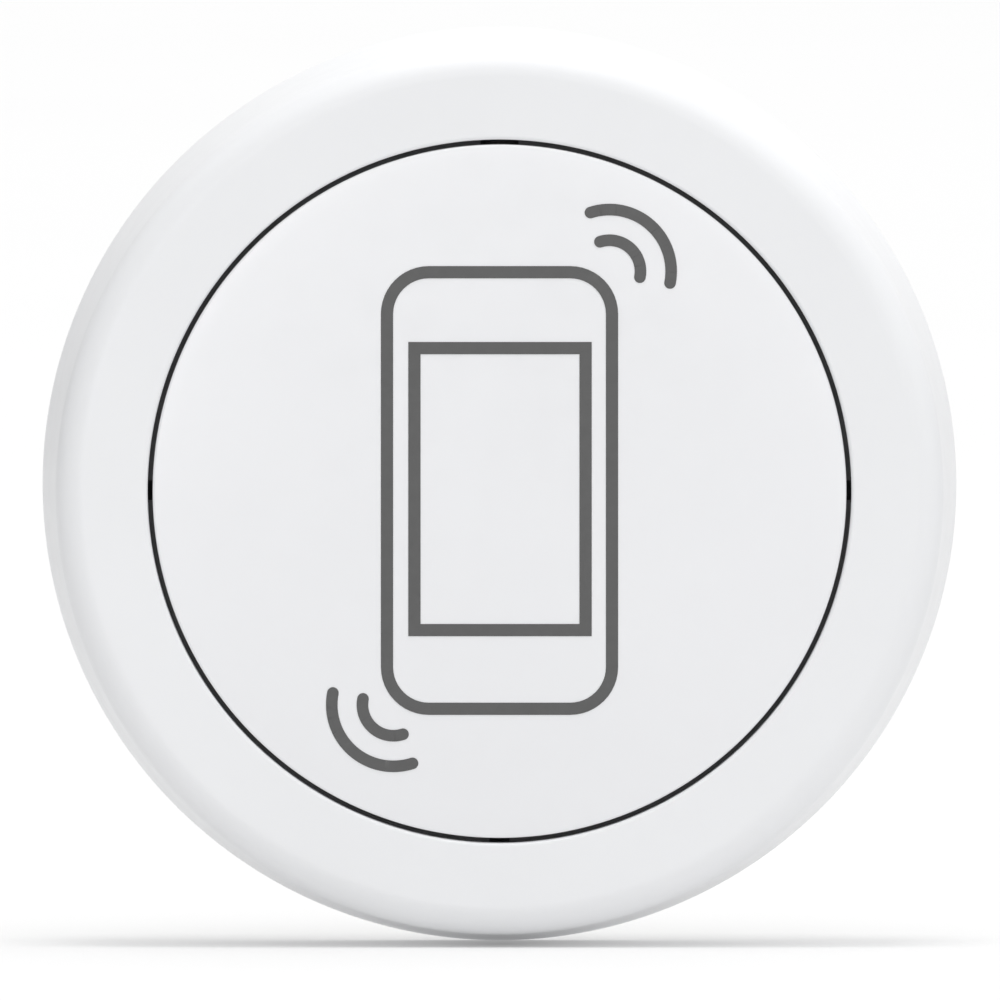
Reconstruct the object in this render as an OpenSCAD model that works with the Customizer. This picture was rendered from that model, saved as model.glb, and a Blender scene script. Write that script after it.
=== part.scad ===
// Round stick-on wireless finder tag whose front is one large push button.
// Each piece is drawn lying down: its depth runs along Z, from the wall side at 0 to the button.
// stand() turns it upright: +Z is up, the button faces -Y and the wall side is the plane y = 0.

/* [Body] */
// Largest diameter, at the rim on the wall side
tag_d = 28; // [27.8:0.1:29]
// Depth from the wall to the middle of the button
tag_depth = 8; // [8:0.1:8.6]
// Diameter of the flat ring face, where its outer rounding starts
face_d = 25.46; // [25.3:0.02:25.6]
// Radius of the rounding between the ring face and the side wall
face_round = 0.88; // [0.6:0.02:0.9]
// Radius of the small rounding at the rim on the wall side
rim_round = 0.25; // [0.1:0.05:0.35]
// Inside diameter of the housing
inner_d = 24.8; // [24.7:0.1:25]
// Thickness of the housing behind the ring face
face_wall = 1.2; // [1:0.05:1.3]

/* [Button] */
// Diameter of the button cap
button_d = 21.26; // [21:0.02:21.3]
// Clear gap between the cap and the housing, all round
button_gap = 0.15; // [0.1:0.01:0.18]
// Height of the cap's shallow dome
crown = 0.3; // [0.2:0.01:0.32]
// How far the cap moves when it is pressed
travel = 0.25; // [0.15:0.01:0.25]
// Thickness of the cap at its edge
cap_t = 1; // [0.9:0.05:1]
// Thickness of the thin lip round the cap
lip_t = 0.5; // [0.4:0.05:0.5]
// Number of snap hooks, and of vent slots above them
hooks = 4; // [4]
// Width of one snap hook
hook_w = 1.8; // [1.4:0.1:2]
// Width of one vent slot in the seal and the ledge
vent_w = 0.61; // [0.4:0.01:0.8]
// Width of the top vent slot, which is wider so that the cap goes in upright
key_vent_w = 1.16; // [0.9:0.01:1.4]

/* [Printed icon] */
// Width of the phone outline
phone_w = 7.27; // [6.6:0.01:7.4]
// Height of the phone outline
phone_h = 13.76; // [13:0.01:14]
// Corner radius of the phone outline
phone_corner = 1.47; // [1:0.01:1.6]
// Width of the screen outline
screen_w = 5.62; // [5:0.02:6]
// Height of the screen outline
screen_h = 9.02; // [8:0.01:9.4]
// Line width of the phone and its screen
stroke = 0.375; // [0.3:0.001:0.42]
// Line width of the waves
wave_stroke = 0.357; // [0.3:0.001:0.42]
// Middle radius of the long wave
wave_long = 1.89; // [1.7:0.01:1.95]
// Middle radius of the short wave
wave_short = 0.95; // [0.8:0.01:1]
// Angle that each wave covers
wave_span = 119; // [90:1:130]
// Thickness of the ink
ink_t = 0.015; // [0.01:0.001:0.02]

/* [Base plate] */
// Thickness of the foam adhesive pad
pad_t = 0.5; // [0.4:0.05:0.5]
// Diameter of the foam adhesive pad
pad_d = 22.6; // [20:0.1:23]
// Thickness of the base plate
base_t = 1.1; // [1:0.05:1.1]
// Number of bayonet lugs
lugs = 3; // [3]
// Angle that each lug covers
lug_span = 20; // [14:1:22]
// Turn from locked to released
twist = 30; // [26:1:34]

/* [Battery] */
// Diameter of the coin cell
cell_d = 20; // [20]
// Height of the coin cell
cell_h = 1.6; // [1.6]

/* [Board] */
// Diameter of the circuit board
board_d = 24.2; // [23.8:0.1:24.4]
// Thickness of the circuit board
board_t = 0.8; // [0.6:0.1:0.8]
// Number of screws that hold the board and the tray
screws = 3; // [3]
// Distance of the screws from the middle
screw_ring = 11.2; // [11.15:0.01:11.25]

/* [Hidden] */

$fn = 128;
// Extra length that lets a cutting shape pass right through
cut = 0.1;
// Smallest gap or bite between shapes that meet
fit = 0.01;

// Colours
white_plastic = "#ECECEE";
ink_grey = "#656565";
charcoal = "#2D2D2F";
steel = "#B9BBBE";
gold = "#C9A24A";

// Angle of the top, counted from the right-hand side
top_a = 90;

// Radii of the housing
rim_r = tag_d / 2;
face_r = face_d / 2;
inner_r = inner_d / 2;
button_r = button_d / 2;
bore_r = button_r + button_gap;
sleeve_t = 0.74;
sleeve_r = bore_r + sleeve_t;
ledge_r = 9.75;
bore_round = 0.12;

// Depths of the housing
shell_back = pad_t;
ring_front = tag_depth - crown;
front_inside = ring_front - face_wall;
ledge_t = 0.75;
ledge_back = front_inside - ledge_t;
draft = atan((rim_r - face_r - face_round) / (ring_front - face_round - shell_back));

// Steps that round outlines are drawn with
small_steps = 6;
rim_steps = 8;
face_steps = 16;
crown_steps = 12;
corner_steps = 12;
wave_steps = 32;
seal_steps = 32;

// Button cap
edge_round = 0.08;
crown_r = button_r - edge_round;
cap_inside = ring_front - cap_t;
lip_back = ring_front - lip_t;
rabbet_r = 9.7;
skirt_r = 9.6;
skirt_t = 0.7;
skirt_h = 0.65;
skirt_back = cap_inside - skirt_h;
hook_h = 0.75;
hook_back = skirt_back - hook_h;
barb_r = 10.15;
snap_slack = 0.05;
barb_front = ledge_back - snap_slack;
pip_r = 0.9;
cap_rib_w = 0.5;
cap_rib_h = 0.35;
cap_ribs = 6;

// Seal in the gap, and the vents cut in it and in the ledge
press_slack = 0.05;
gap_seal_t = lip_back - front_inside - travel - press_slack;
gap_seal_r = 9.85;
vent_inner_r = 10.3;
vent_bite = 0.24;
vent_outer_r = bore_r + vent_bite;
vent_relief = 0.1;

// Bayonet
base_r = 12.2;
base_front = pad_t + base_t;
lug_r = 12.85;
lug_t = 0.5;
groove_r = 13;
groove_slack = 0.15;
lug_back = base_front - lug_t;
stop_slack = 0.5;
entry_slack = 2;
seal_r = 11.3;
seal_section = 0.35;
seal_groove = 0.45;

// Battery tray and coin cell
cell_r = cell_d / 2;
cell_lift = 0.15;
cell_back = base_front + cell_lift;
cell_front = cell_back + cell_h;
tray_gap = 0.15;
tray_r = 12.25;
tray_lift = 0.35;
tray_back = base_front + tray_lift;
tray_lip_r = 9;
tray_lip_t = 0.45;
can_t = 0.2;
can_round = 0.25;
cell_step = 0.15;
crimp_t = 0.2;
crimp_r = 9.1;
cell_cap_r = 8.75;

// Board stack
board_lift = 0.55;
board_back = cell_front + board_lift;
board_front = board_back + board_t;
board_r = board_d / 2;
board_notch_r = 0.7;
leaf_t = 0.15;
contact_angle = 225;
contact_w = 3;
contact_foot_r = cell_r + 0.85;
contact_slot_r = cell_r + 1;
arm_w = 1.6;
arm_r = 6;
arms = 3;

// Screws
first_screw = 45;
boss_r = 0.95;
boss_front = ledge_back + ledge_t / 2;
shank_r = 0.45;
shank_hole_r = 0.55;
pilot_r = 0.46;
head_r = 0.7;
head_t = 0.4;
head_hole_r = 0.8;
head_lift = 0.95;
head_front = board_back - head_lift;
screw_bite = 1.1;
screw_tip = board_front + screw_bite;
drive_w = 0.2;
drive_depth = 0.15;

// Switch, as width, height and thickness of its parts
switch_size = [4.2, 3.2, 0.6];
switch_well_r = 1.3;
switch_floor = 0.1;
switch_cover_t = 0.1;
dome_r = 1.2;
dome_t = 0.06;
dome_h = 0.2;
plunger_r = 0.7;
plunger_flange_r = 1;
plunger_flange_t = 0.1;
plunger_hole_r = 0.82;
flange_lift = 0.44;
flange_back = board_front + flange_lift;
plunger_h = 0.59;
plunger_front = flange_back + plunger_h;
pip_slack = 0.02;
pip_back = plunger_front + pip_slack;

// Chips on the board: size, then where the middle is
chip_size = [5, 5, 0.85];
chip_at = [-5.6, 3.2];
main_crystal_size = [2, 1.6, 0.5];
main_crystal_at = [-5.6, -1.1];
clock_crystal_size = [3.2, 1.5, 0.6];
clock_crystal_at = [-5.2, -3.3];
antenna_size = [5, 1, 0.6];
antenna_at = [2, 7.6];
antenna_cap_l = 0.6;
sounder_size = [4, 4, 1.3];
sounder_at = [4.9, -3.4];
sounder_wall = 0.2;
sounder_hole_r = 0.5;
sounder_well_r = 1.75;
sounder_disc_t = 0.12;
passive_size = [1, 0.5, 0.4];
passive_pitch = 1.4;
capacitor_count = 5;
capacitor_at = [-4.4, -5.7];
resistor_count = 4;
resistor_at = [0.6, 5];
dimple_r = 0.2;
dimple_inset = 0.6;
dimple_depth = 0.05;

// Printed icon
phone_at = [0, 0.03];
screen_at = [0.015, 0.075];
upper_wave_at = [3.37, 6.75];
upper_wave_start = -11;
lower_wave_at = [-3.25, -6.54];
lower_wave_start = upper_wave_start + 180;

// ---- Helpers ----

// Points along an arc about c, from angle a to angle b
function arc(c, r, a, b, n) =
  [for (i = [0 : n]) c + r * [cos(a + (b - a) * i / n), sin(a + (b - a) * i / n)]];

// Depth of the cap's front surface at radius r
function crown_at(r) = ring_front + crown * (1 - pow(r / crown_r, 2));

// Points across the cap's front surface, raised by lift, from the middle outwards
function crown_line(lift) =
  [for (i = [0 : crown_steps]) let (r = crown_r * i / crown_steps) [r, crown_at(r) + lift]];

// The list p, last entry first
function reversed(p) = [for (i = [len(p) - 1 : -1 : 0]) p[i]];

// Rectangle outline with round corners
function rounded_outline(w, h, r) = [
  for (k = [0 : 3])
    let (c = [(k == 0 || k == 3 ? 1 : -1) * (w / 2 - r), (k < 2 ? 1 : -1) * (h / 2 - r)])
      each arc(c, r, 90 * k, 90 * k + 90, corner_steps)
];

module stand() rotate([90, 0, 0]) children();

module disc(r, from, to) translate([0, 0, from]) cylinder(r = r, h = to - from);

module ring(r_in, r_out, from, to) {
  difference() {
    disc(r_out, from, to);
    disc(r_in, from - cut, to + cut);
  }
}

// Part of a ring, centred on angle a and covering the angle span
module sector(r_in, r_out, from, to, a, span) {
  side = 2 * r_out * [cos(span / 2), sin(span / 2)];
  intersection() {
    ring(r_in, r_out, from, to);
    rotate([0, 0, a])
      translate([0, 0, from - cut])
        linear_extrude(to - from + 2 * cut)
          polygon([[0, 0], [side.x, -side.y], side]);
  }
}

// Box between two radii, w wide, at angle a
module spoke(r_in, r_out, w, from, to, a) {
  rotate([0, 0, a])
    translate([r_in, -w / 2, from])
      cube([r_out - r_in, w, to - from]);
}

// Box with its middle at a point of the board
module block(size, at, from) {
  translate([at.x - size.x / 2, at.y - size.y / 2, from])
    cube(size);
}

// Round thing at each screw's place
module at_screws() {
  for (i = [0 : screws - 1])
    rotate([0, 0, first_screw + 360 / screws * i])
      translate([screw_ring, 0, 0])
        children();
}

// Thin skin on the cap's front, in the outline of its 2-D child
module printed() {
  color(ink_grey)
    stand()
      intersection() {
        translate([0, 0, lip_back])
          linear_extrude(tag_depth)
            children();
        rotate_extrude()
          polygon(concat(crown_line(0), reversed(crown_line(ink_t))));
      }
}

// ---- Base plate, the fixed part ----

module adhesive_pad() {
  color("#D9D9D6")
    stand()
      disc(pad_d / 2, 0, pad_t);
}

module base_plate() {
  color(white_plastic)
    stand()
      difference() {
        union() {
          disc(base_r, pad_t, base_front);
          for (i = [0 : lugs - 1])
            sector(base_r - cut, lug_r, lug_back, base_front, top_a + 360 / lugs * i, lug_span);
        }
        ring(seal_r - seal_groove, seal_r + seal_groove, base_front - seal_section, base_front + cut);
      }
}

module base_seal() {
  color(charcoal)
    stand()
      translate([0, 0, base_front])
        rotate_extrude()
          translate([seal_r, 0])
            circle(seal_section, $fn = seal_steps);
}

// ---- Housing ----

module shell_profile() {
  polygon(concat(
    [[ledge_r, ledge_back], [ledge_r, front_inside], [bore_r, front_inside]],
    arc([bore_r + bore_round, ring_front - bore_round], bore_round, 180, 90, small_steps),
    arc([face_r, ring_front - face_round], face_round, 90, draft, face_steps),
    arc([rim_r - rim_round, shell_back + rim_round], rim_round, draft, -90, rim_steps),
    [[inner_r, shell_back], [inner_r, front_inside], [sleeve_r, front_inside], [sleeve_r, ledge_back]]
  ));
}

module bayonet_cuts() {
  for (i = [0 : lugs - 1]) {
    lug_a = top_a + 360 / lugs * i;
    sector(inner_r - cut, groove_r, lug_back - groove_slack, base_front + groove_slack,
           lug_a - twist / 2, lug_span + twist + 2 * stop_slack);
    sector(inner_r - cut, groove_r, shell_back - cut, base_front,
           lug_a - twist, lug_span + 2 * entry_slack);
  }
}

// Vent slots; relief widens those in the ledge, so that the dark seal hides their white sides
module vents(from, to, relief = 0) {
  for (i = [0 : hooks - 1]) {
    a = 360 / hooks * i;
    spoke(vent_inner_r, vent_outer_r, (a == top_a ? key_vent_w : vent_w) + 2 * relief, from, to, a);
  }
}

module outer_shell() {
  color(white_plastic)
    stand()
      difference() {
        union() {
          rotate_extrude()
            shell_profile();
          at_screws()
            disc(boss_r, board_front, boss_front);
        }
        bayonet_cuts();
        vents(ledge_back - cut, front_inside + cut, vent_relief);
        at_screws()
          disc(pilot_r, board_front - cut, screw_tip + cut);
      }
}

module gap_seal() {
  color(charcoal)
    stand()
      difference() {
        ring(gap_seal_r, bore_r - fit, front_inside, front_inside + gap_seal_t);
        vents(front_inside - cut, front_inside + gap_seal_t + cut);
      }
}

module battery_tray() {
  color("#3A3C40")
    stand()
      difference() {
        union() {
          ring(cell_r + tray_gap, tray_r, tray_back, board_back);
          ring(tray_lip_r, cell_r + tray_gap + fit, board_back - tray_lip_t, board_back);
        }
        at_screws() {
          disc(head_hole_r, tray_back - cut, head_front);
          disc(shank_hole_r, tray_back, board_back + cut);
        }
        spoke(tray_lip_r - cut, contact_slot_r, contact_w + 2 * tray_gap,
              tray_back - cut, board_back + cut, contact_angle);
      }
}

module tray_screws() {
  color(steel)
    stand()
      at_screws()
        difference() {
          union() {
            disc(head_r, head_front - head_t, head_front);
            disc(shank_r, head_front - fit, screw_tip);
          }
          for (a = [0, 90])
            rotate([0, 0, a])
              block([2 * head_r - drive_w, drive_w, drive_depth + cut], [0, 0], head_front - head_t - cut);
        }
}

// ---- Coin cell and its contacts ----

module cell_can() {
  color(steel)
    stand()
      rotate_extrude()
        polygon([
          [0, cell_back],
          [cell_r - can_round, cell_back],
          [cell_r, cell_back + can_round],
          [cell_r, cell_front - cell_step - can_round],
          [cell_r - can_round, cell_front - cell_step],
          [crimp_r, cell_front - cell_step],
          [crimp_r, cell_front - cell_step - crimp_t],
          [cell_r - can_t, cell_front - cell_step - crimp_t],
          [cell_r - can_t, cell_back + can_t],
          [0, cell_back + can_t]
        ]);
}

module cell_gasket() {
  color("#5B5E62")
    stand()
      rotate_extrude()
        polygon([
          [cell_cap_r, cell_back + can_t],
          [cell_r - can_t, cell_back + can_t],
          [cell_r - can_t, cell_front - cell_step - crimp_t],
          [crimp_r, cell_front - cell_step - crimp_t],
          [crimp_r, cell_front - cell_step / 2],
          [cell_cap_r, cell_front - cell_step / 2]
        ]);
}

module cell_cap() {
  color(steel)
    stand()
      rotate_extrude()
        polygon([
          [0, cell_back + can_t],
          [cell_cap_r, cell_back + can_t],
          [cell_cap_r, cell_front - cell_step / 2],
          [cell_cap_r - cell_step / 2, cell_front],
          [0, cell_front]
        ]);
}

// Sheet-metal strip: an outline in radius and depth, w wide, at angle a
module strip(outline, w, a) {
  rotate([0, 0, a])
    translate([0, w / 2, 0])
      rotate([90, 0, 0])
        linear_extrude(w)
          polygon(outline);
}

module contact_positive() {
  color(gold)
    stand()
      strip([
        [cell_r, cell_back + cell_h / 3],
        [cell_r + leaf_t, cell_back + cell_h / 3],
        [cell_r + leaf_t, board_back - leaf_t],
        [contact_foot_r, board_back - leaf_t],
        [contact_foot_r, board_back],
        [cell_r, board_back]
      ], contact_w, contact_angle);
}

module contact_negative() {
  arm_start = 1;
  tip_l = 0.8;
  color(gold)
    stand() {
      disc(arm_w, board_back - leaf_t, board_back);
      for (i = [0 : arms - 1])
        strip([
          [arm_start, board_back],
          [arm_start, board_back - leaf_t],
          [arm_r - tip_l, cell_front],
          [arm_r, cell_front],
          [arm_r, cell_front + leaf_t],
          [arm_r - tip_l, cell_front + leaf_t],
          [arm_start + tip_l, board_back]
        ], arm_w, 360 / arms * i);
    }
}

// ---- Circuit board and what is on it ----

module circuit_board() {
  color("#1D1F22")
    stand()
      difference() {
        disc(board_r, board_back, board_front);
        at_screws()
          disc(shank_hole_r, board_back - cut, board_front + cut);
        for (a = [0, 180])
          rotate([0, 0, a])
            translate([board_r, 0, 0])
              disc(board_notch_r, board_back - cut, board_front + cut);
      }
}

module chip(size, at) {
  difference() {
    block(size, at, board_front);
    translate([at.x - size.x / 2 + dimple_inset, at.y + size.y / 2 - dimple_inset, 0])
      disc(dimple_r, board_front + size.z - dimple_depth, board_front + size.z + cut);
  }
}

module radio_chip() {
  color("#26272A")
    stand()
      chip(chip_size, chip_at);
}

module main_crystal() {
  lid_inset = 0.3;
  lid_t = 0.1;
  color(steel)
    stand() {
      block(main_crystal_size - [0, 0, lid_t], main_crystal_at, board_front);
      block(main_crystal_size - [lid_inset, lid_inset, 0], main_crystal_at, board_front);
    }
}

module clock_crystal() {
  end_l = 0.4;
  end_inset = 0.15;
  color("#D8D3C4")
    stand() {
      block(clock_crystal_size - [2 * end_l, 0, 0], clock_crystal_at, board_front);
      block(clock_crystal_size - [0, end_inset, end_inset], clock_crystal_at, board_front);
    }
}

module chip_antenna() {
  groove_w = 0.2;
  groove_depth = 0.06;
  color("#E4E0D6")
    stand()
      difference() {
        block(antenna_size, antenna_at, board_front);
        for (s = [-1, 1])
          block([groove_w, antenna_size.y + cut, groove_depth + cut],
                antenna_at + [s * (antenna_size.x / 2 - antenna_cap_l), 0],
                board_front + antenna_size.z - groove_depth);
      }
}

// Row of small parts with a raised terminal at each end
module passive_row(count, at) {
  terminal_l = 0.25;
  body_inset = 0.06;
  for (i = [0 : count - 1]) {
    place = at + [passive_pitch * i, 0];
    block(passive_size - [0, body_inset, body_inset], place, board_front);
    for (s = [-1, 1])
      block([terminal_l, passive_size.y, passive_size.z],
            place + [s * (passive_size.x - terminal_l) / 2, 0], board_front);
  }
}

module capacitors() {
  color("#A88A62")
    stand()
      passive_row(capacitor_count, capacitor_at);
}

module resistors() {
  color("#2B2B2E")
    stand()
      passive_row(resistor_count, resistor_at);
}

module sounder_case() {
  well_back = board_front + sounder_wall;
  well_front = board_front + sounder_size.z - sounder_wall;
  color("#2E2F33")
    stand()
      difference() {
        block(sounder_size, sounder_at, board_front);
        translate([sounder_at.x, sounder_at.y, 0]) {
          disc(sounder_well_r, well_back, well_front);
          disc(sounder_hole_r, well_front - cut, well_front + 2 * sounder_wall);
        }
      }
}

module sounder_disc() {
  disc_back = board_front + sounder_size.z / 2;
  color(gold)
    stand()
      translate([sounder_at.x, sounder_at.y, 0])
        disc(sounder_well_r - fit, disc_back, disc_back + sounder_disc_t);
}

// ---- Switch ----

module switch_base() {
  color("#1C1C1E")
    stand()
      difference() {
        block(switch_size, [0, 0], board_front);
        disc(switch_well_r, board_front + switch_floor, board_front + switch_size.z + cut);
      }
}

module switch_dome() {
  dome_back = board_front + switch_floor;
  flat_r = dome_r / 2;
  color(steel)
    stand()
      rotate_extrude()
        polygon([
          [0, dome_back + dome_h],
          [flat_r, dome_back + dome_h],
          [dome_r - dome_t, dome_back],
          [dome_r, dome_back],
          [dome_r, dome_back + dome_t],
          [flat_r, dome_back + dome_h + dome_t],
          [0, dome_back + dome_h + dome_t]
        ]);
}

module switch_frame() {
  cover_back = board_front + switch_size.z;
  tab_h = 0.4;
  tab_w = 1.2;
  color(steel)
    stand() {
      difference() {
        block([switch_size.x, switch_size.y, switch_cover_t], [0, 0], cover_back);
        disc(plunger_hole_r, cover_back - cut, cover_back + switch_cover_t + cut);
      }
      for (s = [-1, 1])
        block([switch_cover_t, tab_w, tab_h + switch_cover_t],
              [s * (switch_size.x + switch_cover_t) / 2, 0], cover_back - tab_h);
    }
}

module switch_plunger() {
  color("#E9E6DC")
    stand() {
      disc(plunger_flange_r, flange_back, flange_back + plunger_flange_t);
      disc(plunger_r, flange_back, plunger_front);
    }
}

// ---- Button ----

module cap_profile() {
  polygon(concat(
    crown_line(0),
    arc([crown_r, ring_front - edge_round], edge_round, 90, 0, small_steps),
    [
      [button_r, lip_back],
      [rabbet_r, lip_back],
      [rabbet_r, cap_inside],
      [skirt_r, cap_inside],
      [skirt_r, skirt_back],
      [skirt_r - skirt_t, skirt_back],
      [skirt_r - skirt_t, cap_inside],
      [0, cap_inside]
    ]
  ));
}

module snap_hook(a) {
  spoke(skirt_r - skirt_t, skirt_r, hook_w, hook_back, skirt_back + fit, a);
  spoke(skirt_r - fit, barb_r, hook_w, hook_back, barb_front, a);
}

module button_cap() {
  color(white_plastic)
    stand() {
      rotate_extrude()
        cap_profile();
      for (i = [0 : hooks - 1])
        snap_hook(360 / hooks * i);
      for (i = [0 : cap_ribs - 1])
        spoke(0, skirt_r - skirt_t + fit, cap_rib_w, cap_inside - cap_rib_h, cap_inside + fit,
              360 / cap_ribs * (i + 0.5));
      disc(pip_r, pip_back, cap_inside + fit);
    }
}

module icon_phone() {
  inset = 2 * stroke;
  printed()
    translate(phone_at)
      difference() {
        polygon(rounded_outline(phone_w, phone_h, phone_corner));
        polygon(rounded_outline(phone_w - inset, phone_h - inset, phone_corner - stroke));
      }
}

module icon_screen() {
  inset = 2 * stroke;
  printed()
    translate(screen_at)
      difference() {
        square([screen_w, screen_h], center = true);
        square([screen_w - inset, screen_h - inset], center = true);
      }
}

// Arc-shaped line with round ends, of middle radius r, from angle a
module wave(r, a) {
  end_a = a + wave_span;
  polygon(concat(
    arc([0, 0], r + wave_stroke / 2, a, end_a, wave_steps),
    arc(r * [cos(end_a), sin(end_a)], wave_stroke / 2, end_a, end_a + 180, corner_steps),
    arc([0, 0], r - wave_stroke / 2, end_a, a, wave_steps),
    arc(r * [cos(a), sin(a)], wave_stroke / 2, a + 180, a + 360, corner_steps)
  ));
}

module waves(at, a) {
  printed()
    translate(at) {
      wave(wave_long, a);
      wave(wave_short, a);
    }
}

module icon_waves_upper() {
  waves(upper_wave_at, upper_wave_start);
}

module icon_waves_lower() {
  waves(lower_wave_at, lower_wave_start);
}

adhesive_pad();
base_plate();
base_seal();
outer_shell();
gap_seal();
battery_tray();
tray_screws();
cell_can();
cell_gasket();
cell_cap();
contact_positive();
contact_negative();
circuit_board();
radio_chip();
main_crystal();
clock_crystal();
chip_antenna();
capacitors();
resistors();
sounder_case();
sounder_disc();
switch_base();
switch_dome();
switch_frame();
switch_plunger();
button_cap();
icon_phone();
icon_screen();
icon_waves_upper();
icon_waves_lower();
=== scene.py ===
"""Round stick-on wireless finder tag on its rim: looks, light and camera around the CAD model."""

import math

import bmesh
import bpy
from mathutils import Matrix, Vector


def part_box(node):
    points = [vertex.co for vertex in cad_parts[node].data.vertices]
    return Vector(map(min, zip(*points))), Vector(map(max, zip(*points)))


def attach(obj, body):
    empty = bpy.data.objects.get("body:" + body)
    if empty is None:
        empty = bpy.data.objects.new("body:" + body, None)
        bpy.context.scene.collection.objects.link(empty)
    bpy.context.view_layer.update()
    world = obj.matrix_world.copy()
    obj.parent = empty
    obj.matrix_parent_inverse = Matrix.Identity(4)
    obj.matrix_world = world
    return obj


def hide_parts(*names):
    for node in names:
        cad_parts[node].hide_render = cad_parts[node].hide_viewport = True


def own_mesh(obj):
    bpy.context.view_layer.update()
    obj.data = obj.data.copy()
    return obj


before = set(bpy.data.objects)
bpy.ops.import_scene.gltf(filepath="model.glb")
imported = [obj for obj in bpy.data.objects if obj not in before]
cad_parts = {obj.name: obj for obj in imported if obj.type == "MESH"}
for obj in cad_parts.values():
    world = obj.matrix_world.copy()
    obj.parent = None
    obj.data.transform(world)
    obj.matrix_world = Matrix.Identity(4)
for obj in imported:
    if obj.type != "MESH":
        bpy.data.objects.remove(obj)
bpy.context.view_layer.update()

MM = 0.001

# ---------------------------------------------------------------- measures of the CAD model, in mm


def radii(node, low, high):
    """Radii, about the tag's axis, of a CAD node's vertices whose depth is from low to high."""
    slack = 1e-3
    found = []
    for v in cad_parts[node].data.vertices:
        if low - slack <= -v.co.y / MM <= high + slack:
            found.append(math.hypot(v.co.x, v.co.z) / MM)
    return found


def depths(node):
    """Depth of a CAD node's back and front, counted from the wall that the tag sticks to."""
    low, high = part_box(node)
    return -high.y / MM, -low.y / MM


SHELL_BACK, SHELL_FRONT = depths("outer_shell")
CAP_BACK, CAP_FRONT = depths("button_cap")
SEAL_BACK, SEAL_FRONT = depths("gap_seal")
BASE_BACK, BASE_FRONT = depths("base_plate")
PAD_BACK, PAD_FRONT = depths("adhesive_pad")
BOARD_FRONT = depths("circuit_board")[1]

RIM_R = max(radii("outer_shell", SHELL_BACK, SHELL_FRONT))
INNER_R = min(radii("outer_shell", SHELL_BACK, SHELL_BACK))
FACE_R = max(radii("outer_shell", SHELL_FRONT, SHELL_FRONT))
BORE_R = min(radii("outer_shell", SEAL_FRONT, SHELL_FRONT))
LEDGE_R = min(radii("outer_shell", SHELL_BACK, SHELL_FRONT))
LEDGE_FRONT = SEAL_BACK
BUTTON_R = max(radii("button_cap", CAP_BACK, CAP_FRONT))
PAD_R = max(radii("adhesive_pad", PAD_BACK, PAD_FRONT))
PLATE_R = max(radii("base_plate", BASE_BACK, BASE_BACK))

# Details of the housing and its bayonet, as in the CAD model; angles in degrees
FACE_ROUND = 0.88
BORE_ROUND = 0.12
RIM_ROUND = 0.25
BACK_ROUND = 0.08
SLEEVE_R = BORE_R + 0.74
LEDGE_BACK = LEDGE_FRONT - 0.75
GROOVE_R = 13.0
LUG_R = 12.85
LUG_BACK = BASE_FRONT - 0.5
GROOVE_SLACK = 0.15
LUGS = 3
LUG_SPAN = 20
TWIST = 30
STOP_SLACK = 0.5
ENTRY_SLACK = 2
VENTS = 4
VENT_W = 0.61
KEY_VENT_W = 1.16
TOP = 90
VENT_R = (10.3, BORE_R + 0.24)
VENT_RELIEF = 0.1
SCREWS = 3
FIRST_SCREW = 45
SCREW_RING = 11.2
BOSS_R = 0.95
PILOT_R = 0.46
PILOT_DEPTH = 1.2

# Details of the button, as in the CAD model
CROWN = CAP_FRONT - SHELL_FRONT
EDGE_ROUND = 0.08
LIP_BACK = SHELL_FRONT - 0.5
CAP_INSIDE = SHELL_FRONT - 1
RABBET_R = 9.7
SKIRT_R = 9.6
SKIRT_T = 0.7
SKIRT_BACK = CAP_INSIDE - 0.65
BARB_R = 10.15
BARB_FRONT = LEDGE_BACK - 0.05
HOOK_W = 1.8
PIP_R = 0.9
PIP_BACK = depths("switch_plunger")[1] + 0.02
CAP_RIBS = 6
CAP_RIB_W = 0.5
CAP_RIB_H = 0.35

# How far a tool that cuts runs past the material, and how far a part that is added runs into it
CUT = 0.1
BITE = 0.01

# Fineness of the round shapes, and the angle above which an edge is shaded as sharp
STEPS = 360
ARC_STEPS = 14
POST_STEPS = 48
SHARP_ANGLE = 32

# ---------------------------------------------------------------- mesh helpers


def point(r, angle, depth):
    """Place in metres of a point at a radius in mm, an angle in degrees and a depth in mm."""
    a = math.radians(angle)
    return Vector((r * math.cos(a) * MM, -depth * MM, r * math.sin(a) * MM))


def arc(r, depth, radius, start, end, steps=ARC_STEPS):
    """Outline points (radius, depth) along an arc."""
    turns = [math.radians(start + (end - start) * i / steps) for i in range(steps + 1)]
    return [(r + radius * math.cos(t), depth + radius * math.sin(t)) for t in turns]


def to_mesh(bm, mesh):
    """Writes a bmesh to a mesh, with clean outward faces."""
    same = 1e-8    # metres, the distance at which two points count as one
    bmesh.ops.remove_doubles(bm, verts=bm.verts, dist=same)
    bmesh.ops.dissolve_degenerate(bm, edges=bm.edges, dist=same)
    bmesh.ops.recalc_face_normals(bm, faces=bm.faces)
    bm.to_mesh(mesh)
    bm.free()


def to_object(bm, name):
    """Object of a bmesh."""
    mesh = bpy.data.meshes.new(name)
    to_mesh(bm, mesh)
    obj = bpy.data.objects.new(name, mesh)
    bpy.context.scene.collection.objects.link(obj)
    return obj


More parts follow.
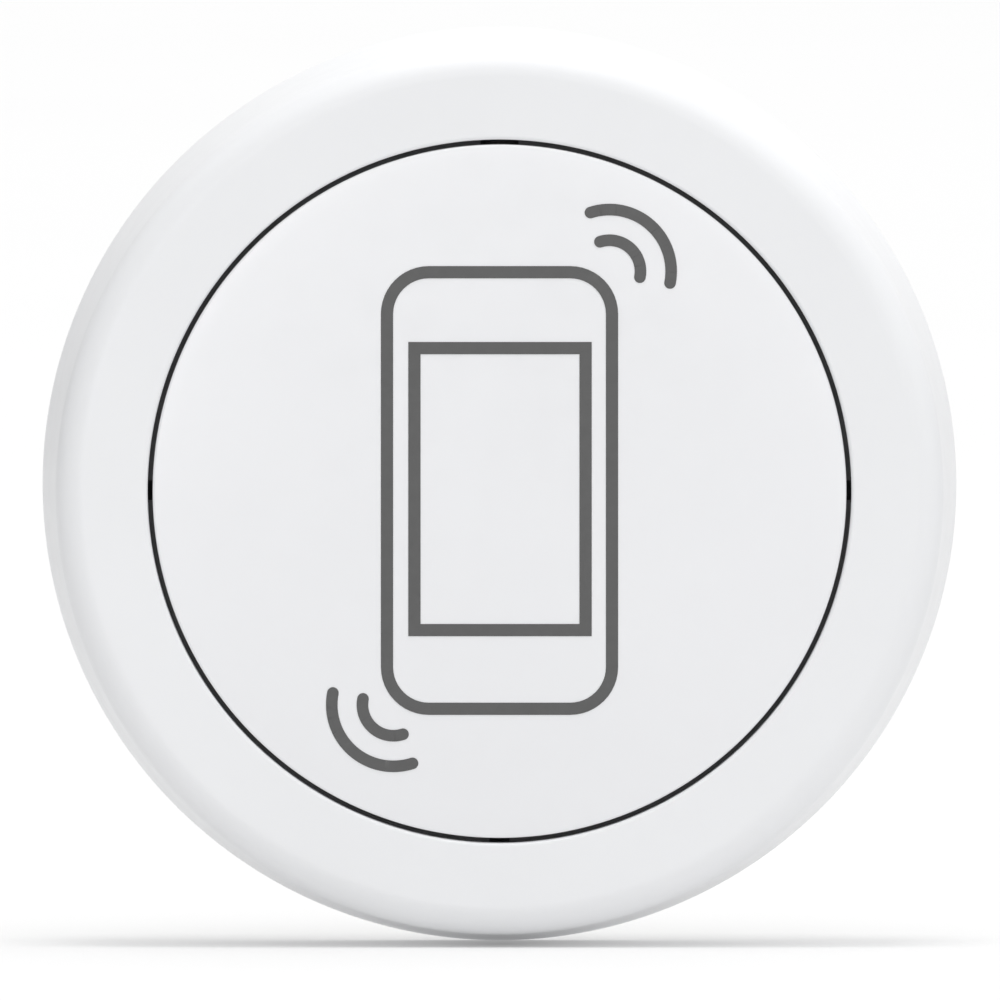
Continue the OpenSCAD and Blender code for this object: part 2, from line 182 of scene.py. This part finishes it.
def lathe(name, outline):
    """Solid turned about the tag's axis from a closed outline of (radius, depth) points."""
    # Most cuts are at whole degrees, so the vertices stand between those
    turns = [360 / STEPS * (i + 0.5) for i in range(STEPS)]
    bm = bmesh.new()
    rings = []
    for r, depth in outline:
        if r == 0:
            rings.append([bm.verts.new(point(0, 0, depth))] * STEPS)
        else:
            rings.append([bm.verts.new(point(r, turn, depth)) for turn in turns])
    for ring, after in zip(rings, rings[1:] + rings[:1]):
        for i in range(STEPS):
            j = (i + 1) % STEPS
            corners = list(dict.fromkeys((ring[i], ring[j], after[j], after[i])))
            if len(corners) > 2:
                bm.faces.new(corners)
    return to_object(bm, name)


def prism(name, corners, back, front):
    """Straight solid between two depths, on (radius, angle) corners."""
    bm = bmesh.new()
    low = [bm.verts.new(point(r, a, back)) for r, a in corners]
    high = [bm.verts.new(point(r, a, front)) for r, a in corners]
    bm.faces.new(low)
    bm.faces.new(high)
    for i in range(len(corners)):
        j = (i + 1) % len(corners)
        bm.faces.new((low[i], low[j], high[j], high[i]))
    return to_object(bm, name)


def sector(name, r_in, r_out, middle, span, back, front):
    """Part of a ring between two depths, with its middle at an angle."""
    steps = max(int(span), 4)
    turns = [middle - span / 2 + span * i / steps for i in range(steps + 1)]
    corners = [(r_out, t) for t in turns] + [(r_in, t) for t in reversed(turns)]
    return prism(name, corners, back, front)


def spoke(name, r_in, r_out, width, angle, back, front):
    """Box between two radii, at an angle."""
    corners = []
    for r, side in ((r_in, -1), (r_out, -1), (r_out, 1), (r_in, 1)):
        offset = side * width / 2
        corners.append((math.hypot(r, offset), angle + math.degrees(math.atan2(offset, r))))
    return prism(name, corners, back, front)


def post(name, radius, back, front, ring=0, angle=0):
    """Round post whose axis is at a radius and an angle."""
    middle = point(ring, angle, 0)
    corners = []
    for i in range(POST_STEPS):
        p = middle + point(radius, 360 * i / POST_STEPS, 0)
        corners.append((math.hypot(p.x, p.z) / MM, math.degrees(math.atan2(p.z, p.x))))
    return prism(name, corners, back, front)


def combine(obj, tools, operation):
    """Adds the tools to obj (UNION), or cuts them out of it (DIFFERENCE), and removes them."""
    for tool in tools:
        step = obj.modifiers.new("combine", "BOOLEAN")
        step.operation = operation
        step.solver = "MANIFOLD"
        step.object = tool
        bpy.context.view_layer.update()
        graph = bpy.context.evaluated_depsgraph_get()
        made = bpy.data.meshes.new_from_object(obj.evaluated_get(graph))
        obj.modifiers.clear()
        obj.data = made
        bm = bmesh.new()
        bm.from_mesh(made)
        to_mesh(bm, made)
        bpy.data.objects.remove(tool)


def finish_piece(obj, body, node, material):
    """Shades a piece, gives it its material and lets it stand for its CAD node."""
    obj.data.shade_smooth()
    obj.data.set_sharp_from_angle(angle=math.radians(SHARP_ANGLE))
    weights = obj.modifiers.new("weights", "WEIGHTED_NORMAL")
    weights.keep_sharp = True
    obj.data.materials.clear()
    obj.data.materials.append(material)
    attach(obj, body)
    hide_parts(node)
    return obj


# ---------------------------------------------------------------- materials


class Material:
    """A Principled material that is built up from procedural layers."""

    def __init__(self, name, colour, roughness, **sockets):
        self.material = bpy.data.materials.new(name)
        self.material.use_nodes = True
        tree = self.material.node_tree
        self.nodes, self.links = tree.nodes, tree.links
        self.shader = self.nodes["Principled BSDF"]
        self.shader.inputs["Base Color"].default_value = (*colour, 1)
        self.shader.inputs["Roughness"].default_value = roughness
        self.colour, self.roughness = colour, roughness
        for socket, value in sockets.items():
            self.shader.inputs[socket.replace("_", " ")].default_value = value
        self.place = self.nodes.new("ShaderNodeTexCoord").outputs["Object"]
        self.height = None

    def noise(self, size_mm, detail, stretch=(1, 1, 1)):
        """Noise whose features are about size_mm across; stretch lengthens them along an axis."""
        mapping = self.nodes.new("ShaderNodeMapping")
        mapping.inputs["Scale"].default_value = [1 / s for s in stretch]
        self.links.new(self.place, mapping.inputs["Vector"])
        noise = self.nodes.new("ShaderNodeTexNoise")
        noise.inputs["Scale"].default_value = 1 / (size_mm * MM)
        noise.inputs["Detail"].default_value = detail
        self.links.new(mapping.outputs["Vector"], noise.inputs["Vector"])
        return noise.outputs["Fac"]

    def cells(self, size_mm, feature="F1"):
        """Distance field of cells about size_mm across."""
        voronoi = self.nodes.new("ShaderNodeTexVoronoi")
        voronoi.feature = feature
        voronoi.inputs["Scale"].default_value = 1 / (size_mm * MM)
        self.links.new(self.place, voronoi.inputs["Vector"])
        return voronoi.outputs["Distance"]

    def spread(self, value, low, high, from_low=0.3, from_high=0.7):
        """Maps a texture's middle range to low..high."""
        node = self.nodes.new("ShaderNodeMapRange")
        node.inputs["From Min"].default_value = from_low
        node.inputs["From Max"].default_value = from_high
        node.inputs["To Min"].default_value = low
        node.inputs["To Max"].default_value = high
        self.links.new(value, node.inputs["Value"])
        return node.outputs["Result"]

    def tint(self, value, other, low=0.3, high=0.7):
        """Varies the colour between the base colour and another one."""
        mix = self.nodes.new("ShaderNodeMix")
        mix.data_type = "RGBA"
        mix.inputs["B"].default_value = (*other, 1)
        source = self.shader.inputs["Base Color"]
        if source.links:
            self.links.new(source.links[0].from_socket, mix.inputs["A"])
        else:
            mix.inputs["A"].default_value = (*self.colour, 1)
        self.links.new(self.spread(value, 0, 1, low, high), mix.inputs["Factor"])
        self.links.new(mix.outputs["Result"], source)

    def gloss(self, value, change):
        """Varies the roughness by up to change either way."""
        varied = self.spread(value, self.roughness - change, self.roughness + change)
        self.links.new(varied, self.shader.inputs["Roughness"])

    def bump(self, value, height_mm):
        """Adds relief of about height_mm."""
        bump = self.nodes.new("ShaderNodeBump")
        bump.inputs["Distance"].default_value = height_mm * MM
        self.links.new(value, bump.inputs["Height"])
        if self.height is not None:
            self.links.new(self.height, bump.inputs["Normal"])
        self.height = bump.outputs["Normal"]
        self.links.new(self.height, self.shader.inputs["Normal"])


def shade(colour, factor):
    """Colour that is darker, or lighter, by a factor."""
    return [factor * c for c in colour]


def white_plastic(name, colour, roughness, grain_mm, relief_mm):
    """Very light moulded plastic: a hint of tone change, a satin grain and slightly uneven gloss."""
    m = Material(name, colour, roughness, IOR=1.5)
    m.tint(m.noise(6, 3), shade(colour, 0.983))
    m.gloss(m.noise(0.9, 4), 0.04)
    m.bump(m.noise(grain_mm, 3), relief_mm)
    m.bump(m.noise(3.5, 2), relief_mm)
    return m.material


def ink():
    """Matt grey print."""
    m = Material("printed_ink", (0.093, 0.093, 0.093), 0.55, IOR=1.45)
    m.tint(m.noise(0.25, 4), (0.098, 0.098, 0.098))
    m.gloss(m.noise(0.4, 3), 0.06)
    m.bump(m.noise(0.05, 3), 0.002)
    return m.material


def elastomer():
    """Matt charcoal rubber."""
    m = Material("charcoal_elastomer", (0.115, 0.116, 0.119), 0.7, IOR=1.43)
    m.tint(m.noise(0.5, 4), (0.135, 0.135, 0.138))
    m.gloss(m.noise(0.2, 3), 0.08)
    m.bump(m.noise(0.03, 3), 0.003)
    return m.material


def foam():
    """Closed-cell foam under a tacky film: open pores of two sizes, with painted shade in their
    hollows, slightly shiny.
    """
    m = Material("foam_adhesive", (0.62, 0.62, 0.59), 0.5, IOR=1.47)
    m.tint(m.noise(2.5, 4), (0.57, 0.57, 0.54))
    # The pores' darker tints are painted shade in their hollows; the pores' relief is real
    m.tint(m.cells(0.12), (0.40, 0.40, 0.37), 0.34, 0.12)
    m.tint(m.cells(0.31), (0.33, 0.33, 0.30), 0.22, 0.08)
    m.gloss(m.noise(1.2, 4), 0.14)
    m.bump(m.cells(0.12), 0.02)
    m.bump(m.cells(0.31), 0.03)
    m.bump(m.noise(1.6, 3), 0.04)
    return m.material


def moulded_plastic(name, colour):
    """Matt plastic with a fine grain and uneven tone."""
    m = Material(name, colour, 0.5, IOR=1.5)
    m.tint(m.noise(1.2, 4), shade(colour, 1.35))
    m.gloss(m.noise(0.4, 3), 0.08)
    m.bump(m.noise(0.06, 3), 0.004)
    return m.material


def metal(name, colour, roughness, stretch):
    """Rolled sheet metal, with faint lines along one direction and handling marks."""
    m = Material(name, colour, roughness, Metallic=1.0)
    m.tint(m.noise(1.5, 4), shade(colour, 0.86))
    m.gloss(m.noise(0.7, 5), 0.1)
    m.bump(m.noise(0.03, 3, stretch), 0.0015)
    return m.material


def solder_mask():
    """Black board: glass weave under the mask, and copper pours that show as slightly lighter areas."""
    m = Material("solder_mask", (0.016, 0.017, 0.019), 0.32, IOR=1.52)
    m.tint(m.cells(1.7, "DISTANCE_TO_EDGE"), (0.03, 0.031, 0.034), 0.03, 0.06)
    m.gloss(m.noise(0.8, 3), 0.05)
    m.bump(m.cells(0.35, "DISTANCE_TO_EDGE"), 0.003)
    return m.material


def ceramic(name, colour):
    """Slightly mottled sintered ceramic."""
    m = Material(name, colour, 0.45, IOR=1.6)
    m.tint(m.noise(0.3, 4), shade(colour, 0.82))
    m.gloss(m.noise(0.2, 3), 0.08)
    m.bump(m.noise(0.04, 3), 0.003)
    return m.material


SHELL_WHITE = white_plastic("satin_white_plastic", (0.789, 0.795, 0.809), 0.35, 0.045, 0.0012)
BUTTON_WHITE = white_plastic("semi_gloss_white_plastic", (0.796, 0.80, 0.816), 0.22, 0.035, 0.0006)
INK = ink()
CHARCOAL = elastomer()
FOAM = foam()
TRAY_PLASTIC = moulded_plastic("dark_tray_plastic", (0.035, 0.037, 0.042))
CHIP_BLACK = moulded_plastic("moulded_package", (0.018, 0.018, 0.02))
GASKET = moulded_plastic("nylon_gasket", (0.10, 0.105, 0.11))
NYLON = moulded_plastic("natural_nylon", (0.52, 0.50, 0.44))
STEEL = metal("stainless_steel", (0.56, 0.56, 0.57), 0.3, (12, 1, 1))
GOLD = metal("gold_plated_bronze", (0.72, 0.50, 0.20), 0.26, (1, 1, 12))
BOARD = solder_mask()
CREAM = ceramic("cream_ceramic", (0.62, 0.58, 0.48))
TAN = ceramic("tan_ceramic", (0.34, 0.22, 0.12))

# ---------------------------------------------------------------- housing


def shell_outline():
    """Outline of the housing: ledge, bore, ring face, rounding, side wall, back edge and inside."""
    widening = RIM_R - FACE_R - FACE_ROUND
    slope = math.degrees(math.atan(widening / (SHELL_FRONT - FACE_ROUND - SHELL_BACK)))
    loop = 0.03    # distance of the vertices beside the roundings, which keep the face's shading flat
    return (
        [(LEDGE_R, LEDGE_BACK), (LEDGE_R, LEDGE_FRONT), (BORE_R, LEDGE_FRONT)]
        + arc(BORE_R + BORE_ROUND, SHELL_FRONT - BORE_ROUND, BORE_ROUND, 180, 90)
        + [(BORE_R + BORE_ROUND + loop, SHELL_FRONT), (FACE_R - loop, SHELL_FRONT)]
        + arc(FACE_R, SHELL_FRONT - FACE_ROUND, FACE_ROUND, 90, slope, steps=24)
        + arc(RIM_R - RIM_ROUND, SHELL_BACK + RIM_ROUND, RIM_ROUND, slope, -90)
        + arc(INNER_R + BACK_ROUND, SHELL_BACK + BACK_ROUND, BACK_ROUND, 270, 180, steps=6)
        + [(INNER_R, LEDGE_FRONT), (SLEEVE_R, LEDGE_FRONT), (SLEEVE_R, LEDGE_BACK)]
    )


def vent_tools(back, front, relief=0):
    """Boxes that cut the vents, each wider by the relief on either side; the top one is the key."""
    tools = []
    for i in range(VENTS):
        angle = 360 / VENTS * i
        width = KEY_VENT_W if angle == TOP else VENT_W
        tools.append(spoke("vent", *VENT_R, width + 2 * relief, angle, back, front))
    return tools


def make_shell():
    """Housing, with its vents, bayonet grooves and openings, and screw bosses."""
    shell = lathe("outer_shell_moulding", shell_outline())
    tools = vent_tools(LEDGE_BACK - CUT, LEDGE_FRONT + CUT, VENT_RELIEF)
    groove_span = LUG_SPAN + TWIST + 2 * STOP_SLACK
    entry_span = LUG_SPAN + 2 * ENTRY_SLACK
    for i in range(LUGS):
        lug = TOP + 360 / LUGS * i
        tools.append(sector("groove", INNER_R - CUT, GROOVE_R, lug - TWIST / 2, groove_span,
                            LUG_BACK - GROOVE_SLACK, BASE_FRONT + GROOVE_SLACK))
        tools.append(sector("entry", INNER_R - CUT, GROOVE_R, lug - TWIST, entry_span,
                            SHELL_BACK - CUT, BASE_FRONT))
    combine(shell, tools, "DIFFERENCE")
    boss_front = LEDGE_BACK + (LEDGE_FRONT - LEDGE_BACK) / 2
    for i in range(SCREWS):
        angle = FIRST_SCREW + 360 / SCREWS * i
        boss = post("boss", BOSS_R, BOARD_FRONT, boss_front, SCREW_RING, angle)
        combine(shell, [boss], "UNION")
        pilot = post("pilot", PILOT_R, BOARD_FRONT - CUT, BOARD_FRONT + PILOT_DEPTH, SCREW_RING, angle)
        combine(shell, [pilot], "DIFFERENCE")
    finish_piece(shell, "housing", "outer_shell", SHELL_WHITE)


def make_gap_seal():
    """Dark seal at the bottom of the gap round the button, cut by the vents."""
    edge = 0.05
    inner = min(radii("gap_seal", SEAL_BACK, SEAL_FRONT))
    outer = max(radii("gap_seal", SEAL_BACK, SEAL_FRONT))
    outline = (
        [(inner, SEAL_BACK)]
        + arc(inner + edge, SEAL_FRONT - edge, edge, 180, 90, steps=4)
        + [(outer, SEAL_FRONT), (outer, SEAL_BACK)]
    )
    seal = lathe("gap_seal_ring", outline)
    combine(seal, vent_tools(SEAL_BACK - CUT, SEAL_FRONT + CUT), "DIFFERENCE")
    finish_piece(seal, "housing", "gap_seal", CHARCOAL)


# ---------------------------------------------------------------- button


def crown_at(r):
    """Depth of the button's front surface at a radius."""
    return SHELL_FRONT + CROWN * (1 - (r / (BUTTON_R - EDGE_ROUND)) ** 2)


def cap_outline():
    """Outline of the button: crown, rounded edge, lip and skirt."""
    crown_steps = 24
    crown_r = BUTTON_R - EDGE_ROUND
    crown = [crown_r * i / crown_steps for i in range(crown_steps)]
    return (
        [(r, crown_at(r)) for r in crown]
        + arc(crown_r, SHELL_FRONT - EDGE_ROUND, EDGE_ROUND, 90, 0, steps=8)
        + [(BUTTON_R, LIP_BACK), (RABBET_R, LIP_BACK), (RABBET_R, CAP_INSIDE), (SKIRT_R, CAP_INSIDE)]
        + [(SKIRT_R, SKIRT_BACK), (SKIRT_R - SKIRT_T, SKIRT_BACK), (SKIRT_R - SKIRT_T, CAP_INSIDE)]
        + [(0, CAP_INSIDE)]
    )


def make_button():
    """Push button, with a snap hook behind each vent, ribs, and the pip that presses the switch."""
    cap = lathe("button_cap_moulding", cap_outline())
    skirt_in = SKIRT_R - SKIRT_T
    parts = []
    for i in range(VENTS):
        angle = 360 / VENTS * i
        parts.append(spoke("hook", skirt_in, SKIRT_R, HOOK_W, angle, CAP_BACK, SKIRT_BACK + BITE))
        parts.append(spoke("barb", SKIRT_R - BITE, BARB_R, HOOK_W, angle, CAP_BACK, BARB_FRONT))
    for i in range(CAP_RIBS):
        angle = 360 / CAP_RIBS * (i + 0.5)
        parts.append(spoke("rib", 0, skirt_in + BITE, CAP_RIB_W, angle,
                           CAP_INSIDE - CAP_RIB_H, CAP_INSIDE + BITE))
    parts.append(post("pip", PIP_R, PIP_BACK, CAP_INSIDE + BITE))
    combine(cap, parts, "UNION")
    finish_piece(cap, "button", "button_cap", BUTTON_WHITE)


# ---------------------------------------------------------------- base plate and pad


def make_base_plate():
    """Plate with a groove for its O-ring and three bayonet lugs."""
    edge = 0.1
    groove_in, groove_out = 10.85, 11.75
    groove_back = BASE_FRONT - 0.35
    outline = (
        [(0, BASE_BACK)]
        + arc(PLATE_R - edge, BASE_BACK + edge, edge, -90, 0, steps=6)
        + arc(PLATE_R - edge, BASE_FRONT - edge, edge, 0, 90, steps=6)
        + [(groove_out, BASE_FRONT), (groove_out, groove_back)]
        + [(groove_in, groove_back), (groove_in, BASE_FRONT)]
        + [(0, BASE_FRONT)]
    )
    plate = lathe("base_plate_moulding", outline)
    lug_root = PLATE_R - 2 * edge
    lugs = [
        sector("lug", lug_root, LUG_R, TOP + 360 / LUGS * i, LUG_SPAN, LUG_BACK, BASE_FRONT)
        for i in range(LUGS)
    ]
    combine(plate, lugs, "UNION")
    finish_piece(plate, "base", "base_plate", SHELL_WHITE)


def make_pad():
    """Foam adhesive disc."""
    edge = 0.06
    outline = (
        [(0, PAD_BACK)]
        + arc(PAD_R - edge, PAD_BACK + edge, edge, -90, 0, steps=5)
        + [(PAD_R, PAD_FRONT), (0, PAD_FRONT)]
    )
    finish_piece(lathe("adhesive_foam", outline), "base", "adhesive_pad", FOAM)


# ---------------------------------------------------------------- snap dome of the switch


def make_dome():
    """Spring dome of thin sheet, standing on its rim under the plunger."""
    sheet = 0.06
    back, front = depths("switch_dome")
    rim = max(radii("switch_dome", back, front))
    flat = rim / 2
    outline = [(0, front - sheet), (flat, front - sheet), (rim - sheet, back)]
    outline += [(rim, back), (rim, back + sheet), (flat, front), (0, front)]
    dome = finish_piece(lathe("snap_dome", outline), "housing", "switch_dome", STEEL)
    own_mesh(dome)


# ---------------------------------------------------------------- CAD nodes that stay

# Material of each
KEPT = {
    "icon_phone": INK,
    "icon_screen": INK,
    "icon_waves_upper": INK,
    "icon_waves_lower": INK,
    "base_seal": CHARCOAL,
    "battery_tray": TRAY_PLASTIC,
    "tray_screws": STEEL,
    "cell_can": STEEL,
    "cell_gasket": GASKET,
    "cell_cap": STEEL,
    "contact_positive": GOLD,
    "contact_negative": GOLD,
    "circuit_board": BOARD,
    "radio_chip": CHIP_BLACK,
    "main_crystal": STEEL,
    "clock_crystal": CREAM,
    "chip_antenna": CREAM,
    "capacitors": TAN,
    "resistors": CHIP_BLACK,
    "sounder_case": CHIP_BLACK,
    "sounder_disc": GOLD,
    "switch_base": CHIP_BLACK,
    "switch_frame": STEEL,
    "switch_plunger": NYLON,
}

# Width in mm of the bevels on their sharp edges
BEVELS = {
    "battery_tray": 0.05,
    "circuit_board": 0.04,
    "radio_chip": 0.03,
    "main_crystal": 0.05,
    "clock_crystal": 0.04,
    "chip_antenna": 0.04,
    "capacitors": 0.04,
    "resistors": 0.03,
    "sounder_case": 0.06,
    "switch_base": 0.04,
    "switch_plunger": 0.04,
}


def dress_cad_nodes():
    """Gives the nodes their materials and bevels; the weld closes the meshes first."""
    same = 1e-7          # metres
    sharp_angle = 40     # degrees
    for name, material in KEPT.items():
        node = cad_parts[name]
        node.data.materials.clear()
        node.data.materials.append(material)
        weld = node.modifiers.new("weld", "WELD")
        weld.merge_threshold = same
        if name in BEVELS:
            bevel = node.modifiers.new("bevel", "BEVEL")
            bevel.width = BEVELS[name] * MM
            bevel.segments = 2
            bevel.angle_limit = math.radians(sharp_angle)
            bevel.harden_normals = True


# ---------------------------------------------------------------- stage, light and camera

# The floor glows faintly, and less in a patch under the rim, which paints a darker contact shadow there
FLOOR_GLOW = 0.284
SHADOW_PATCH_GLOW = 0.16
SHADOW_PATCH_SIZE = (5, 9)    # mm, half the patch's width and depth


def make_floor():
    """Pale floor under the rim, large enough to fill the picture at a grazing view."""
    half, ahead, behind = 2.5, 1.0, 4.0    # metres
    bm = bmesh.new()
    z = -RIM_R * MM
    corners = ((-half, -ahead), (half, -ahead), (half, behind), (-half, behind))
    bm.faces.new([bm.verts.new((x, y, z)) for x, y in corners])
    floor = to_object(bm, "floor")
    m = Material("pale_floor", (0.56, 0.56, 0.56), 0.8)
    m.tint(m.noise(60, 3), (0.555, 0.555, 0.555))
    m.shader.inputs["Specular IOR Level"].default_value = 0.0
    m.shader.inputs["Emission Color"].default_value = (1, 1, 1, 1)
    # The glow drops in an oval round the contact: a painted contact shadow on the floor
    shadow_patch_place = m.nodes.new("ShaderNodeMapping")
    shadow_patch_place.vector_type = "TEXTURE"
    shadow_patch_place.inputs["Location"].default_value = (0, -SHELL_FRONT / 2 * MM, z)
    shadow_patch_place.inputs["Scale"].default_value = (*(side * MM for side in SHADOW_PATCH_SIZE), 1)
    m.links.new(m.place, shadow_patch_place.inputs["Vector"])
    shadow_fade = m.nodes.new("ShaderNodeTexGradient")
    shadow_fade.gradient_type = "QUADRATIC_SPHERE"
    m.links.new(shadow_patch_place.outputs["Vector"], shadow_fade.inputs["Vector"])
    glow_with_painted_shadow = m.spread(shadow_fade.outputs["Fac"], FLOOR_GLOW, SHADOW_PATCH_GLOW, 0, 1)
    m.links.new(glow_with_painted_shadow, m.shader.inputs["Emission Strength"])
    floor.data.materials.append(m.material)


# Light from all round, in lobes: direction, exponent that narrows the lobe, strength
SKY_LOBES = {
    "right": ((1, 0, 0), 1, 0.70),
    "up": ((0, 0, 1), 1, 0.27),
    "high": ((0, 0, 1), 4, 0.60),
    "back": ((0, 1, 0), 4, 0.67),
    "back_high": ((0, 1, 1), 4, 0.76),
    "front_high": ((0, -1, 1), 4, 0.75),
}


def make_sky():
    """Sum of the lobes, as the strength of the world's white background."""
    world = bpy.data.worlds.new("studio")
    world.use_nodes = True
    bpy.context.scene.world = world
    nodes, links = world.node_tree.nodes, world.node_tree.links

    def math_node(operation, value, *others):
        """Math node on a socket and on other sockets or numbers."""
        node = nodes.new("ShaderNodeMath")
        node.operation = operation
        links.new(value, node.inputs[0])
        for i, other in enumerate(others, 1):
            if isinstance(other, bpy.types.NodeSocket):
                links.new(other, node.inputs[i])
            else:
                node.inputs[i].default_value = other
        return node

    background = nodes["Background"]
    background.inputs["Color"].default_value = (1, 1, 1, 1)
    direction = nodes.new("ShaderNodeTexCoord").outputs["Generated"]
    level = 0
    for name, (towards, exponent, strength) in SKY_LOBES.items():
        along = nodes.new("ShaderNodeVectorMath")
        along.operation = "DOT_PRODUCT"
        links.new(direction, along.inputs[0])
        along.inputs[1].default_value = Vector(towards).normalized()
        share = math_node("MAXIMUM", along.outputs["Value"], 0).outputs["Value"]
        narrowed = math_node("POWER", share, exponent).outputs["Value"]
        added = math_node("MULTIPLY_ADD", narrowed, strength, level)
        added.name = name
        level = added.outputs["Value"]
    links.new(level, background.inputs["Strength"])


# Softboxes: azimuth to the right of the camera and elevation in degrees, distance and size in metres,
# watts. The strips stand close round the camera, so the domed cap catches them only towards its edge.
SOFTBOXES = {
    "overhead": (0, 84, 6.4, (2.0, 2.0), 115.7),
    "overhead_front": (0, 60, 6.4, (4.0, 2.0), 28.8),
    "front": (0, 40, 6.4, (3.0, 1.6), 15.9),
    "left_high": (-90, 45, 1.0, (0.4, 0.4), 0.387),
    "strip_left": (-10, 5, 1.0, (0.10, 0.22), 0.442),
    "strip_right": (10, 5, 1.0, (0.10, 0.22), 0.291),
    "strip_top": (0, 10.5, 1.0, (0.24, 0.09), 0.318),
    "strip_top_left": (-8, 9, 1.0, (0.10, 0.10), 0.091),
}


def make_softboxes():
    """Rectangular area lights that face the tag."""
    for name, (azimuth, elevation, distance, (width, height), watts) in SOFTBOXES.items():
        data = bpy.data.lights.new(name, "AREA")
        data.shape = "RECTANGLE"
        data.size, data.size_y = width, height
        data.energy = watts
        a, e = math.radians(azimuth), math.radians(elevation)
        towards = Vector((math.sin(a) * math.cos(e), -math.cos(a) * math.cos(e), math.sin(e)))
        light = bpy.data.objects.new(name, data)
        light.location = towards * distance
        light.rotation_euler = (-towards).to_track_quat("-Z", "Y").to_euler()
        bpy.context.scene.collection.objects.link(light)


VIEW_WIDTH = 30.64         # mm across the picture
ELEVATION = 1.94           # of the camera above the horizon, in degrees
AIM = (0.015, -0.267)      # mm from the ring's centre to the middle of the picture, right and up
DISTANCE = 300             # mm from there to the camera


def make_camera():
    """View without perspective, from slightly above the tag's middle."""
    data = bpy.data.cameras.new("camera")
    data.type = "ORTHO"
    data.ortho_scale = VIEW_WIDTH * MM
    data.clip_start, data.clip_end = 0.01, 20
    camera = bpy.data.objects.new("camera", data)
    bpy.context.scene.collection.objects.link(camera)
    e = math.radians(ELEVATION)
    back = Vector((0, -math.cos(e), math.sin(e)))
    up = Vector((0, math.sin(e), math.cos(e)))
    aim = point(0, 0, SHELL_FRONT) + Vector((AIM[0], 0, 0)) * MM + up * AIM[1] * MM
    camera.location = aim + back * DISTANCE * MM
    camera.rotation_euler = (math.radians(90 - ELEVATION), 0, 0)
    bpy.context.scene.camera = camera


make_camera()
make_shell()
make_gap_seal()
make_button()
make_base_plate()
make_pad()
make_dome()
dress_cad_nodes()
make_floor()
make_sky()
make_softboxes()

bpy.context.scene.view_settings.view_transform = "Standard"
bpy.context.scene.view_settings.look = "None"
